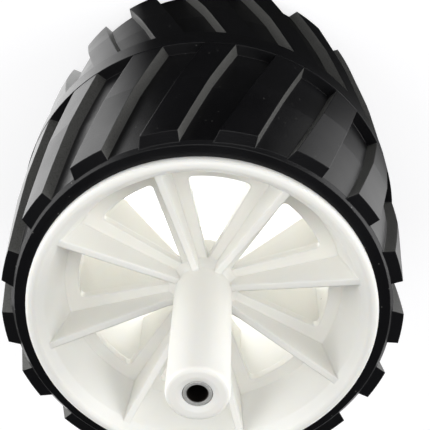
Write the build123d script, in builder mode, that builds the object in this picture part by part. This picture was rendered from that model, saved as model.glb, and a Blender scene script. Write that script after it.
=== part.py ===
from build123d import *
import math
import os

os.makedirs("parts", exist_ok=True)

# Wide driven wheel for a garden machine. All sizes are in millimetres.
# The wheel stands on its rear lip. The axle line is along Z and the long boss points up, which is the front.
# The origin is on the axle line, in the plane of the rim's front lip.
# Names that end in _d are depths below that plane, and a radius goes along the section's other axis.
section = Plane(origin=(0, 0, 0), x_dir=(1, 0, 0), z_dir=(0, 1, 0))

# Axle sleeve
axle_bore_dia = 8.0
sleeve_wall = 2.0
sleeve_recess = 0.8
sleeve_chamfer = 0.45
sleeve_fit = 0.03

# Boss
boss_front = 51.0
boss_rear = 48.0
boss_r = 12.7
boss_round = 1.6
dish_depth = 0.7
dish_margin = 2.4

# Rim: a barrel with a lip at each end, and a flared mouth with a conical tyre seat round it at the front
rim_width = 194.0
barrel_r = 66.5
lip_h = 8.5
lip_t = 4.0
lip_round = 1.7
seat_cone_w = 4.4
seat_cone_l = 14.0
mouth_w = 7.5
wall_t = 5.0
flare_w = 3.2
flare_depth = 5.5
bead_round = 1.2
bead_drop = 0.7

# Web: ring and spokes
web_front_d = 25.5
web_t = 4.0
ring_w = 6.0
spoke_count = 8
spoke_phase = 14.0
spoke_w_rim = 15.8
spoke_w_boss = 11.5
collar_w = 2.7
root_cone_l = 4.0
window_corner_r = 2.0
ring_pick_tol = 0.01

# Fins along the spokes, in front of the web and behind it
fin_t = 3.2
fin_root = 1.2
fin_front_rim_d = 3.8
fin_front_boss_d = 20.5
fin_rear_rim_d = 79.0
fin_rear_boss_d = 35.0

# Tyre
tyre_fit = 0.05
carcass_t = 15.0
crown_rise = 4.5
knee_share = 0.75
carcass_chamfer = 1.5
lug_h_edge = 4.5
lug_h_crown = 5.0
rib_w = 14.0

# Chevron lugs: each leans across half the tread, from a side to the middle rib
lug_count = 17
lug_phase = 100.5
lug_w = 15.0
lug_lean = 24.0
lug_draft = 6.0
lug_end_inset = 0.6
lug_bury = 5.0
lug_spare = 4.0
far_lug_shift = 15.0

# Derived sizes
round_mid = 1 - math.cos(math.radians(45))
sleeve_r = axle_bore_dia / 2 + sleeve_wall
seat_r = sleeve_r + sleeve_fit
lip_r = barrel_r + lip_h
wall_front_r = lip_r - mouth_w
wall_r = barrel_r - wall_t
bead_r = wall_front_r + flare_w
ring_inner_r = wall_r - ring_w
collar_r = boss_r + collar_w
spoke_step = 360 / spoke_count
fin_start_r = boss_r - 2 * fin_root
fin_mouth_r = wall_front_r + fin_root
fin_end_r = wall_r + fin_root
tyre_bore_r = barrel_r + tyre_fit
tyre_front_d = lip_t
tyre_rear_d = rim_width - lip_t
tyre_mid_d = rim_width / 2
front_knee_d = (tyre_front_d + tyre_mid_d) / 2
rear_knee_d = (tyre_rear_d + tyre_mid_d) / 2
carcass_edge_r = barrel_r + carcass_t
carcass_crown_r = carcass_edge_r + crown_rise
carcass_knee_r = carcass_edge_r + knee_share * crown_rise
tread_edge_r = carcass_edge_r + lug_h_edge
tread_crown_r = carcass_crown_r + lug_h_crown
tread_knee_r = tread_edge_r + knee_share * (tread_crown_r - tread_edge_r)
lug_step = 360 / lug_count
lug_base_r = carcass_edge_r - lug_bury
lug_reach = tread_crown_r + lug_spare - lug_base_r
lug_base_w = lug_w + 2 * math.tan(math.radians(lug_draft)) * (tread_edge_r - lug_base_r)
lug_tip_d = tyre_front_d + lug_end_inset
lug_root_d = tyre_mid_d - rib_w / 4
lug_half_lean = lug_lean / 2
lug_half_turn = math.degrees(lug_half_lean / tread_edge_r)


# The steel sleeve that lines the boss and runs on the axle
with BuildPart() as axle_sleeve:
    with BuildSketch(section):
        with BuildLine():
            Polyline(
                (axle_bore_dia / 2, -boss_front + sleeve_recess),
                (sleeve_r, -boss_front + sleeve_recess),
                (sleeve_r, boss_rear - sleeve_recess),
                (axle_bore_dia / 2, boss_rear - sleeve_recess),
                close=True,
            )
        make_face()
    revolve(axis=Axis.Z)
    chamfer(axle_sleeve.edges().filter_by(GeomType.CIRCLE), length=sleeve_chamfer)


# One fin with its front and rear wing, lying along +X
with BuildPart() as fin:
    with BuildSketch(section):
        with BuildLine():
            Polyline(
                (fin_start_r, fin_front_boss_d),
                (fin_mouth_r, fin_front_rim_d),
                (fin_end_r, web_front_d),
                (fin_end_r, fin_rear_rim_d),
                (fin_start_r, fin_rear_boss_d),
                close=True,
            )
        make_face()
    extrude(amount=fin_t / 2, both=True)


# The hub: one moulding with rim, web, spokes, fins and boss
with BuildPart() as hub:
    # Barrel, lips and flared mouth
    with BuildSketch(section):
        with BuildLine():
            Polyline(
                (wall_front_r, flare_depth),
                (bead_r, bead_drop),
                (bead_r + bead_round, 0),
                (lip_r - lip_round, 0),
                (lip_r - round_mid * lip_round, round_mid * lip_round),
                (lip_r, lip_round),
                (lip_r, lip_t),
                (barrel_r + seat_cone_w, lip_t),
                (barrel_r, lip_t + seat_cone_l),
                (barrel_r, rim_width - lip_t),
                (lip_r, rim_width - lip_t),
                (lip_r, rim_width - lip_round),
                (lip_r - lip_round, rim_width),
                (wall_r, rim_width),
                (wall_r, web_front_d),
                close=True,
            )
        make_face()
    revolve(axis=Axis.Z)
    # Ring, spokes and collar
    with BuildSketch(Plane.XY.offset(-web_front_d)) as web:
        Circle(wall_r + fin_root)
        Circle(ring_inner_r, mode=Mode.SUBTRACT)
        Circle(collar_r)
        with PolarLocations(0, spoke_count, start_angle=spoke_phase):
            Polygon(
                (0, -spoke_w_boss / 2),
                (collar_r, -spoke_w_boss / 2),
                (ring_inner_r + fin_root, -spoke_w_rim / 2),
                (ring_inner_r + fin_root, spoke_w_rim / 2),
                (collar_r, spoke_w_boss / 2),
                (0, spoke_w_boss / 2),
                align=None,
            )
        on_ring = web.vertices().filter_by(lambda v: abs(math.hypot(v.X, v.Y) - ring_inner_r) < ring_pick_tol)
        fillet(on_ring, radius=window_corner_r)
    extrude(amount=-web_t)
    # Boss, with a conical root in front of the collar
    with BuildSketch(section):
        with BuildLine():
            Polyline(
                (0, -boss_front),
                (boss_r - boss_round, -boss_front),
                (boss_r - round_mid * boss_round, -boss_front + round_mid * boss_round),
                (boss_r, -boss_front + boss_round),
                (boss_r, web_front_d - root_cone_l),
                (collar_r, web_front_d),
                (boss_r, web_front_d),
                (boss_r, boss_rear - boss_round),
                (boss_r - boss_round, boss_rear),
                (0, boss_rear),
                close=True,
            )
        make_face()
    revolve(axis=Axis.Z)
    # Fins
    with Locations(*[Location((0, 0, 0), (0, 0, spoke_phase + k * spoke_step)) for k in range(spoke_count)]):
        add(fin.part)
    # Seat of the sleeve, with a shallow dish at the front
    with BuildSketch(section):
        with BuildLine():
            Polyline(
                (0, -boss_front),
                (seat_r + dish_margin, -boss_front),
                (seat_r, -boss_front + dish_depth),
                (seat_r, boss_rear),
                (0, boss_rear),
                close=True,
            )
        make_face()
    revolve(axis=Axis.Z, mode=Mode.SUBTRACT)


# The crowned envelope that the tread's outer faces lie on
with BuildPart() as tread_envelope:
    with BuildSketch(section):
        with BuildLine():
            Polyline(
                (0, tyre_front_d),
                (tread_edge_r, tyre_front_d),
                (tread_knee_r, front_knee_d),
                (tread_crown_r, tyre_mid_d),
                (tread_knee_r, rear_knee_d),
                (tread_edge_r, tyre_rear_d),
                (0, tyre_rear_d),
                close=True,
            )
        make_face()
    revolve(axis=Axis.Z)


# One lug of the front half, standing out along +Y
with BuildPart() as front_lug:
    with BuildSketch(section.offset(lug_base_r)):
        with BuildLine():
            Polyline(
                (-lug_half_lean - lug_base_w / 2, lug_tip_d),
                (-lug_half_lean + lug_base_w / 2, lug_tip_d),
                (lug_half_lean + lug_base_w / 2, lug_root_d),
                (lug_half_lean - lug_base_w / 2, lug_root_d),
                close=True,
            )
        make_face()
    extrude(amount=lug_reach, taper=lug_draft)
    add(tread_envelope.part, mode=Mode.INTERSECT)


# The tyre: one rubber moulding, a thick sleeve with its tread
with BuildPart() as tyre:
    with BuildSketch(section):
        with BuildLine():
            Polyline(
                (tyre_bore_r, tyre_front_d + seat_cone_l),
                (tyre_bore_r + seat_cone_w, tyre_front_d),
                (carcass_edge_r - carcass_chamfer, tyre_front_d),
                (carcass_edge_r, tyre_front_d + carcass_chamfer),
                (carcass_knee_r, front_knee_d),
                (carcass_crown_r, tyre_mid_d),
                (carcass_knee_r, rear_knee_d),
                (carcass_edge_r, tyre_rear_d - carcass_chamfer),
                (carcass_edge_r - carcass_chamfer, tyre_rear_d),
                (tyre_bore_r, tyre_rear_d),
                close=True,
            )
        make_face()
    revolve(axis=Axis.Z)
    # Middle rib
    with BuildSketch(section):
        with Locations((tread_crown_r / 2 + carcass_edge_r / 2, tyre_mid_d)):
            Rectangle(tread_crown_r - carcass_edge_r, rib_w)
    revolve(axis=Axis.Z)
    # Lugs of the front half and, mirrored and shifted round, of the rear half
    front_turn = lug_phase - lug_half_turn - 90
    with Locations(*[Location((0, 0, 0), (0, 0, front_turn + k * lug_step)) for k in range(lug_count)]):
        add(front_lug.part)
    rear_lug = mirror(front_lug.part, about=Plane.XY.offset(-tyre_mid_d), mode=Mode.PRIVATE)
    rear_turn = front_turn + far_lug_shift
    with Locations(*[Location((0, 0, 0), (0, 0, rear_turn + k * lug_step)) for k in range(lug_count)]):
        add(rear_lug)


hub.part.label = "hub"
tyre.part.label = "tyre"
axle_sleeve.part.label = "axle_sleeve"

export_step(hub.part, "parts/hub.step")
export_step(tyre.part, "parts/tyre.step")
export_step(axle_sleeve.part, "parts/axle_sleeve.step")
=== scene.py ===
import bpy
from mathutils import Matrix, Vector


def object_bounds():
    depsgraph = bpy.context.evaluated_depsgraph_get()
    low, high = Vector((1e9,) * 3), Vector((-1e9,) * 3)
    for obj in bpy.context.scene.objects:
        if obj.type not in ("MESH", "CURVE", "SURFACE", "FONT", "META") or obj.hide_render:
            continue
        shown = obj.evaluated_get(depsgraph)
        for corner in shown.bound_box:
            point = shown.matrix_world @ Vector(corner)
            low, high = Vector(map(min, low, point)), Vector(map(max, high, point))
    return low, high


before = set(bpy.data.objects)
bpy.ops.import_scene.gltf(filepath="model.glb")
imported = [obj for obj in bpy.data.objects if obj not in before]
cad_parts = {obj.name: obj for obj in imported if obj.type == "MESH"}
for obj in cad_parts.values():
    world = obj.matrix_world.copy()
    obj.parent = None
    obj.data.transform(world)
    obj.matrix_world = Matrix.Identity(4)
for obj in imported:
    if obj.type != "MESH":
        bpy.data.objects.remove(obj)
cad_low, cad_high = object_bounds()


# Axle sleeve: a plain steel tube, turned to length and pressed into the boss.
# The wheel runs on it, so its end face shows fine turning rings.
# Its bore and the seam round its outer edge are dark with old grease.
bore_grease_r = 0.0041
clean_from_r = 0.0046
clean_to_r = 0.0056
seam_grease_r = 0.0060
old_grease = (0.030, 0.026, 0.022)
dull_steel = (0.52, 0.52, 0.51)
bright_steel = (0.86, 0.86, 0.84)
steel_roughness = (0.56, 0.74)
steel_grain_scale = 1500.0
turning_scale = 900.0
turning_waver = 1.5


def new_finish(name):
    finish = bpy.data.materials.new(name)
    finish.use_nodes = True
    return finish, finish.node_tree, finish.node_tree.nodes["Principled BSDF"]


steel, steel_tree, steel_shader = new_finish("turned_steel")
steel_shader.inputs["Metallic"].default_value = 1.0
steel_place = steel_tree.nodes.new("ShaderNodeTexCoord").outputs["Object"]


def grain_cloud(tree, place, detail):
    cloud = tree.nodes.new("ShaderNodeTexNoise")
    cloud.inputs["Detail"].default_value = detail
    tree.links.new(place, cloud.inputs["Vector"])
    return cloud


steel_cloud = grain_cloud(steel_tree, steel_place, detail=4.0)
steel_cloud.inputs["Scale"].default_value = steel_grain_scale
steel_grain = steel_cloud.outputs["Fac"]


# Each of the two tones is a fixed colour or comes from another node.
def blend_tones(tree, share, first, second):
    blend = tree.nodes.new("ShaderNodeMix")
    blend.data_type = "RGBA"
    tree.links.new(share, blend.inputs["Factor"])
    for socket_name, tone in (("A", first), ("B", second)):
        if isinstance(tone, tuple):
            blend.inputs[socket_name].default_value = (*tone, 1)
        else:
            tree.links.new(tone, blend.inputs[socket_name])
    return blend.outputs["Result"]


clean_steel = blend_tones(steel_tree, steel_grain, dull_steel, bright_steel)


# The second vector is fixed or comes from another node.
def vector_step(tree, operation, first, second=(0, 0, 0)):
    step = tree.nodes.new("ShaderNodeVectorMath")
    step.operation = operation
    tree.links.new(first, step.inputs[0])
    if isinstance(second, tuple):
        step.inputs[1].default_value = second
    else:
        tree.links.new(second, step.inputs[1])
    return step.outputs


def away_from_axle(tree, place):
    return vector_step(tree, "MULTIPLY", place, (1, 1, 0))["Vector"]


steel_radius = vector_step(steel_tree, "LENGTH", away_from_axle(steel_tree, steel_place))["Value"]


def fade(tree, measure, start, end, start_value=0.0, end_value=1.0, clamp=True):
    slope = tree.nodes.new("ShaderNodeMapRange")
    slope.clamp = clamp
    slope.inputs["From Min"].default_value = start
    slope.inputs["From Max"].default_value = end
    slope.inputs["To Min"].default_value = start_value
    slope.inputs["To Max"].default_value = end_value
    tree.links.new(measure, slope.inputs["Value"])
    return slope.outputs["Result"]


clear_of_bore = fade(steel_tree, steel_radius, bore_grease_r, clean_from_r)
clear_of_seam = fade(steel_tree, steel_radius, seam_grease_r, clean_to_r)


def combine(tree, operation, first, second):
    result = tree.nodes.new("ShaderNodeMath")
    result.operation = operation
    tree.links.new(first, result.inputs[0])
    tree.links.new(second, result.inputs[1])
    return result.outputs["Value"]


bare_steel = combine(steel_tree, "MULTIPLY", clear_of_bore, clear_of_seam)
steel_colour = blend_tones(steel_tree, bare_steel, old_grease, clean_steel)
steel_tree.links.new(steel_colour, steel_shader.inputs["Base Color"])
steel_gloss = fade(steel_tree, steel_grain, 0.0, 1.0, *steel_roughness)
steel_tree.links.new(steel_gloss, steel_shader.inputs["Roughness"])
turning = steel_tree.nodes.new("ShaderNodeTexWave")
turning.wave_type = "RINGS"
turning.rings_direction = "Z"
turning.inputs["Scale"].default_value = turning_scale
turning.inputs["Distortion"].default_value = turning_waver
steel_tree.links.new(steel_place, turning.inputs["Vector"])


def roughen(tree, shader, height, strength, depth, edges=None):
    bump = tree.nodes.new("ShaderNodeBump")
    bump.inputs["Strength"].default_value = strength
    bump.inputs["Distance"].default_value = depth
    tree.links.new(height, bump.inputs["Height"])
    if edges is not None:
        tree.links.new(edges, bump.inputs["Normal"])
    tree.links.new(bump.outputs["Normal"], shader.inputs["Normal"])


roughen(steel_tree, steel_shader, turning.outputs["Fac"], strength=0.12, depth=0.0001)


def dress(piece_name, finish):
    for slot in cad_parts[piece_name].material_slots:
        slot.material = finish


dress("axle_sleeve", steel)


# Hub: one ivory-white nylon moulding with barrel, web, spokes, fins and boss.
# Nylon fills its mould well, so the skin is smooth and slightly glossy.
# Its edges are softly rounded, and a few dark specks lie on it.
ivory = (0.85, 0.842, 0.80)
pale_ivory = (0.88, 0.875, 0.84)
dark_speck = (0.30, 0.27, 0.23)
nylon_roughness = (0.34, 0.48)
nylon_edge_r = 0.0011
speck_core_r = 0.12
speck_end_r = 0.30

# The skin of a moulding, which the tyre has too: fine grain, broad mottle and scattered specks.
skin = bpy.data.node_groups.new("moulded_skin", "ShaderNodeTree")
for socket_name in ("Grain scale", "Mottle scale", "Speck scale", "Speck share"):
    skin.interface.new_socket(socket_name, in_out="INPUT", socket_type="NodeSocketFloat")
for socket_name in ("Grain", "Mottle", "Specks"):
    skin.interface.new_socket(socket_name, in_out="OUTPUT", socket_type="NodeSocketFloat")
skin_in = skin.nodes.new("NodeGroupInput").outputs
skin_out = skin.nodes.new("NodeGroupOutput").inputs
skin_place = skin.nodes.new("ShaderNodeTexCoord").outputs["Object"]
grain = grain_cloud(skin, skin_place, detail=3.0)
mottle = grain_cloud(skin, skin_place, detail=5.0)
speck_cells = skin.nodes.new("ShaderNodeTexVoronoi")
skin.links.new(skin_place, speck_cells.inputs["Vector"])
for pattern, scale_name in ((grain, "Grain scale"), (mottle, "Mottle scale"), (speck_cells, "Speck scale")):
    skin.links.new(skin_in[scale_name], pattern.inputs["Scale"])
speck_pick = skin.nodes.new("ShaderNodeSeparateColor")
skin.links.new(speck_cells.outputs["Color"], speck_pick.inputs["Color"])
speck_chosen = combine(skin, "LESS_THAN", speck_pick.outputs["Red"], skin_in["Speck share"])
speck_core = fade(skin, speck_cells.outputs["Distance"], speck_core_r, speck_end_r, 1.0, 0.0)
skin.links.new(grain.outputs["Fac"], skin_out["Grain"])
skin.links.new(mottle.outputs["Fac"], skin_out["Mottle"])
skin.links.new(combine(skin, "MULTIPLY", speck_chosen, speck_core), skin_out["Specks"])


def lay_skin(tree, grain_scale, mottle_scale, speck_scale, speck_share):
    layer = tree.nodes.new("ShaderNodeGroup")
    layer.node_tree = skin
    layer.inputs["Grain scale"].default_value = grain_scale
    layer.inputs["Mottle scale"].default_value = mottle_scale
    layer.inputs["Speck scale"].default_value = speck_scale
    layer.inputs["Speck share"].default_value = speck_share
    return layer.outputs


def round_edges(tree, radius, samples):
    rounding = tree.nodes.new("ShaderNodeBevel")
    rounding.samples = samples
    rounding.inputs["Radius"].default_value = radius
    return rounding.outputs["Normal"]


nylon, nylon_tree, nylon_shader = new_finish("ivory_nylon")
nylon_shader.inputs["IOR"].default_value = 1.53
nylon_shader.inputs["Subsurface Weight"].default_value = 0.30
nylon_shader.inputs["Subsurface Radius"].default_value = (1.0, 0.85, 0.65)
nylon_shader.inputs["Subsurface Scale"].default_value = 0.004
nylon_skin = lay_skin(nylon_tree, grain_scale=700.0, mottle_scale=26.0, speck_scale=420.0, speck_share=0.0012)
clean_nylon = blend_tones(nylon_tree, nylon_skin["Mottle"], ivory, pale_ivory)
nylon_colour = blend_tones(nylon_tree, nylon_skin["Specks"], clean_nylon, dark_speck)
nylon_tree.links.new(nylon_colour, nylon_shader.inputs["Base Color"])
nylon_gloss = fade(nylon_tree, nylon_skin["Mottle"], 0.0, 1.0, *nylon_roughness)
nylon_tree.links.new(nylon_gloss, nylon_shader.inputs["Roughness"])
nylon_edges = round_edges(nylon_tree, nylon_edge_r, samples=8)
roughen(nylon_tree, nylon_shader, nylon_skin["Grain"], strength=0.05, depth=0.0002, edges=nylon_edges)
dress("hub", nylon)


# Tyre: a thick black rubber sleeve, moulded with its chevron lugs.
# It is stretched over the barrel, between the two lips.
# The rubber has a satin skin with pale specks of mould powder. Its lug walls are painted paler than the lug
# tops: painted light, standing in for the light that falls on them.
deep_black = (0.0015, 0.0015, 0.002)
soft_black = (0.005, 0.005, 0.006)
# Painted light: the paler colour given to the lug walls in place of the light falling on them.
painted_wall_light = (0.100, 0.100, 0.095)
powder_speck = (0.11, 0.11, 0.105)
rubber_roughness = (0.24, 0.36)
rubber_edge_r = 0.0005
wall_begins = 0.55
wall_full = 0.95
grain_low = 0.35
grain_high = 0.65
# How thin and thick the painted light on the lug walls lies, varied by the grain.
thin_painted_light = 0.72
thick_painted_light = 1.15

rubber, rubber_tree, rubber_shader = new_finish("black_rubber")
rubber_shader.inputs["IOR"].default_value = 1.52
rubber_shader.inputs["Specular IOR Level"].default_value = 0.28
rubber_skin = lay_skin(
    rubber_tree, grain_scale=1300.0, mottle_scale=34.0, speck_scale=800.0, speck_share=0.016
)
# A lug wall is a face that looks round the tread, and not out from the axle.
rubber_place = rubber_tree.nodes.new("ShaderNodeTexCoord").outputs
rubber_out = away_from_axle(rubber_tree, rubber_place["Object"])
rubber_round = vector_step(rubber_tree, "CROSS_PRODUCT", rubber_out, (0, 0, 1))["Vector"]
way_round = vector_step(rubber_tree, "NORMALIZE", rubber_round)["Vector"]
rubber_facing = vector_step(rubber_tree, "DOT_PRODUCT", way_round, rubber_place["Normal"])["Value"]
steepness = rubber_tree.nodes.new("ShaderNodeMath")
steepness.operation = "ABSOLUTE"
rubber_tree.links.new(rubber_facing, steepness.inputs[0])
lug_wall = fade(rubber_tree, steepness.outputs["Value"], wall_begins, wall_full)
unevenness = fade(
    rubber_tree, rubber_skin["Grain"], grain_low, grain_high, thin_painted_light, thick_painted_light, clamp=False
)
# Painted light: the lug walls are painted paler, unevenly along the grain, to stand in for light falling on
# them.
painted_light_share = combine(rubber_tree, "MULTIPLY", lug_wall, unevenness)
clean_rubber = blend_tones(rubber_tree, rubber_skin["Mottle"], deep_black, soft_black)
rubber_with_painted_wall_light = blend_tones(rubber_tree, painted_light_share, clean_rubber, painted_wall_light)
rubber_colour = blend_tones(rubber_tree, rubber_skin["Specks"], rubber_with_painted_wall_light, powder_speck)
rubber_tree.links.new(rubber_colour, rubber_shader.inputs["Base Color"])
rubber_gloss = fade(rubber_tree, rubber_skin["Mottle"], 0.0, 1.0, *rubber_roughness)
rubber_tree.links.new(rubber_gloss, rubber_shader.inputs["Roughness"])
rubber_edges = round_edges(rubber_tree, rubber_edge_r, samples=6)
roughen(rubber_tree, rubber_shader, rubber_skin["Grain"], strength=0.28, depth=0.0002, edges=rubber_edges)
dress("tyre", rubber)


# Floor: a large pale light table that the wheel stands on, on its rear lip.
# It shows white to the camera and takes a soft shadow.
# To mirror rays it is painted near-black, with two strips on its left and right that glow only to mirror
# rays: painted reflections that put a sheen on the rubber and steel.
floor_half = 40.0
floor_z = cad_low.z
floor_to_lamps = (0.85, 0.85, 0.86)
# Painted reflection: mirror rays see the floor near-black, so the rubber and steel reflect it dark.
floor_painted_dark_in_mirrors = (0.02, 0.02, 0.02)
floor_to_camera = (0.42, 0.42, 0.43)

floor_corners = [(x * floor_half, y * floor_half, floor_z) for x, y in ((-1, -1), (1, -1), (1, 1), (-1, 1))]
floor_mesh = bpy.data.meshes.new("floor")
floor_mesh.from_pydata(floor_corners, [], [(0, 1, 2, 3)])
floor = bpy.data.objects.new("floor", floor_mesh)
bpy.context.collection.objects.link(floor)
floor_white, floor_tree, floor_shader = new_finish("floor_white")
floor_white.cycles.emission_sampling = "NONE"
floor_shader.inputs["Roughness"].default_value = 0.7
floor_shader.inputs["Specular IOR Level"].default_value = 0.0
floor_shader.inputs["Emission Color"].default_value = (1, 1, 1, 1)
floor_ray = floor_tree.nodes.new("ShaderNodeLightPath").outputs
floor_place = floor_tree.nodes.new("ShaderNodeTexCoord").outputs["Object"]
floor_unseen_painted_dark_in_mirrors = blend_tones(floor_tree, floor_ray["Is Glossy Ray"], floor_to_lamps, floor_painted_dark_in_mirrors)
floor_colour = blend_tones(floor_tree, floor_ray["Is Camera Ray"], floor_unseen_painted_dark_in_mirrors, floor_to_camera)
floor_tree.links.new(floor_colour, floor_shader.inputs["Base Color"])
floor_glow_and_painted_reflections = None
for ray_name, measure, way, dark_at, bright_at, strength in (
    ("Is Camera Ray", "LENGTH", (0.0, 0.0, 0.0), -1.0, 0.0, 0.66),
    ("Is Camera Ray", "LENGTH", (0.0, 0.0, 0.0), 0.5, 1.5, 0.32),
    # The two mirror-ray rows are painted reflections: floor strips that glow only to mirror rays, left and
    # right of the wheel.
    ("Is Glossy Ray", "DOT_PRODUCT", (-1.0, -0.5, 0.0), 0.00, 0.07, 1.80),
    ("Is Glossy Ray", "DOT_PRODUCT", (1.0, 0.0, 0.0), 0.12, 0.20, 1.40),
):
    distance = vector_step(floor_tree, measure, floor_place, way)["Value"]
    brightness = fade(floor_tree, distance, dark_at, bright_at, 0.0, strength)
    glow = combine(floor_tree, "MULTIPLY", floor_ray[ray_name], brightness)
    floor_glow_and_painted_reflections = glow if floor_glow_and_painted_reflections is None else combine(floor_tree, "ADD", floor_glow_and_painted_reflections, glow)
floor_tree.links.new(floor_glow_and_painted_reflections, floor_shader.inputs["Emission Strength"])
floor_mesh.materials.append(floor_white)


# Studio: a dim room that is white to the camera, with a broad window on the left.
# One panel hangs in front of the boss and another stands on the right.
# A small round lamp on the floor inside the barrel lights the web and the barrel from behind.
room_to_camera = 0.91
room_fill = 0.08
barrel_lamp_z = floor_z + 0.0001

room = bpy.data.worlds.new("room")
bpy.context.scene.world = room
room.use_nodes = True
room_tree = room.node_tree
room_light = room_tree.nodes["Background"]
room_light.inputs["Color"].default_value = (1.0, 1.0, 1.0, 1)
room_ray = room_tree.nodes.new("ShaderNodeLightPath").outputs
room_level = room_tree.nodes.new("ShaderNodeMath")
room_level.operation = "MULTIPLY_ADD"
room_level.inputs[1].default_value = room_to_camera
room_level.inputs[2].default_value = room_fill
room_tree.links.new(room_ray["Is Camera Ray"], room_level.inputs[0])
room_tree.links.new(room_level.outputs["Value"], room_light.inputs["Strength"])
for lamp_name, shape, lamp_place, aim, size, power in (
    ("window_left", "RECTANGLE", (-1.12, 0.28, 0.34), (0.0, 0.0, -0.05), (1.5, 1.3), 17.5),
    ("panel_front", "RECTANGLE", (0.10, 0.66, 1.28), (0.0, 0.0, 0.0), (1.3, 1.3), 10.5),
    ("panel_right", "RECTANGLE", (1.10, 0.15, 0.36), (0.0, 0.0, -0.05), (1.2, 1.1), 14.0),
    ("barrel_lamp", "ELLIPSE", (0.0, 0.0, barrel_lamp_z), (0.0, 0.0, 0.0), (0.121, 0.121), 0.125),
):
    lamp = bpy.data.lights.new(lamp_name, "AREA")
    lamp.shape = shape
    lamp.size, lamp.size_y = size
    lamp.energy = power
    lamp_object = bpy.data.objects.new(lamp_name, lamp)
    lamp_object.location = lamp_place
    lamp_object.rotation_euler = (Vector(aim) - Vector(lamp_place)).to_track_quat("-Z", "Y").to_euler()
    lamp_object.visible_camera = False
    bpy.context.collection.objects.link(lamp_object)


# Camera: looks at the front of the wheel, past the end of the boss, about 29 degrees off the axle line.
# It has a long lens and no shift.
camera_place = (0.01703, 0.26415, 0.38625)
camera_right = Vector((0.9997, -0.0118, -0.0213))
camera_up = Vector((0.0, 0.8753, -0.4836))
camera_back = camera_right.cross(camera_up)
camera = bpy.data.cameras.new("camera")
camera.sensor_width = 36.0
camera.lens = 92.1
camera.clip_start = 0.01
camera_object = bpy.data.objects.new("camera", camera)
camera_turn = Matrix((camera_right, camera_up, camera_back)).transposed()
camera_object.matrix_world = Matrix.Translation(camera_place) @ camera_turn.to_4x4()
bpy.context.collection.objects.link(camera_object)
bpy.context.scene.camera = camera_object
bpy.context.scene.view_settings.view_transform = "Standard"
